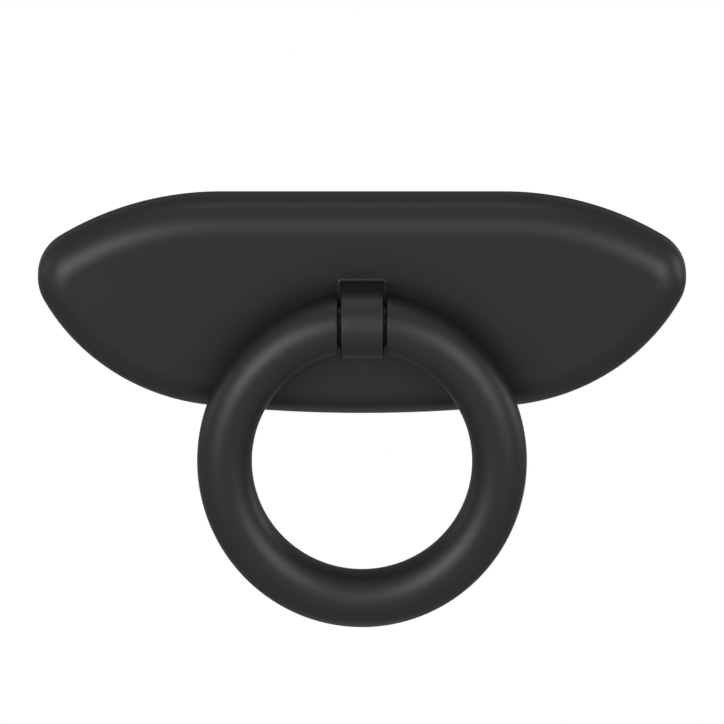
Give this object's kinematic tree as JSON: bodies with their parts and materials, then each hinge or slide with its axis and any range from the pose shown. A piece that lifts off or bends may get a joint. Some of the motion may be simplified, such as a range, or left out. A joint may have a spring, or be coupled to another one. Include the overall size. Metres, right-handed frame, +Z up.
{
  "type": "drop ring pull",
  "caption": "Drop ring pull for a drawer or cabinet door: a round bar ring hangs from a hinge lug on a boat-shaped backplate with rounded edges, held by a screw from behind.",
  "frame": {"origin": "centre of the screw hole on the backplate's flat back", "axes": "+X along the backplate, +Y into the door or drawer front, +Z up"},
  "size_m": [0.08, 0.0139, 0.0535],
  "materials": {
    "matte_black_casting": "matte black coating, fine and even",
    "matte_black_ring": "matte black coating, fine and even",
    "black_pin": "blackened steel, satin"
  },
  "bodies": {
    "base": {"backplate": "matte_black_casting"},
    "ring": {"pull_ring": "matte_black_ring", "hinge_pin": "black_pin"}
  },
  "joints": [
    {"name": "ring_swing", "type": "hinge", "parent": "base", "child": "ring", "pos_m": [0, -0.00957, 0.00025], "axis": [-1, 0, 0], "range_deg": [-2, 178]}
  ]
}
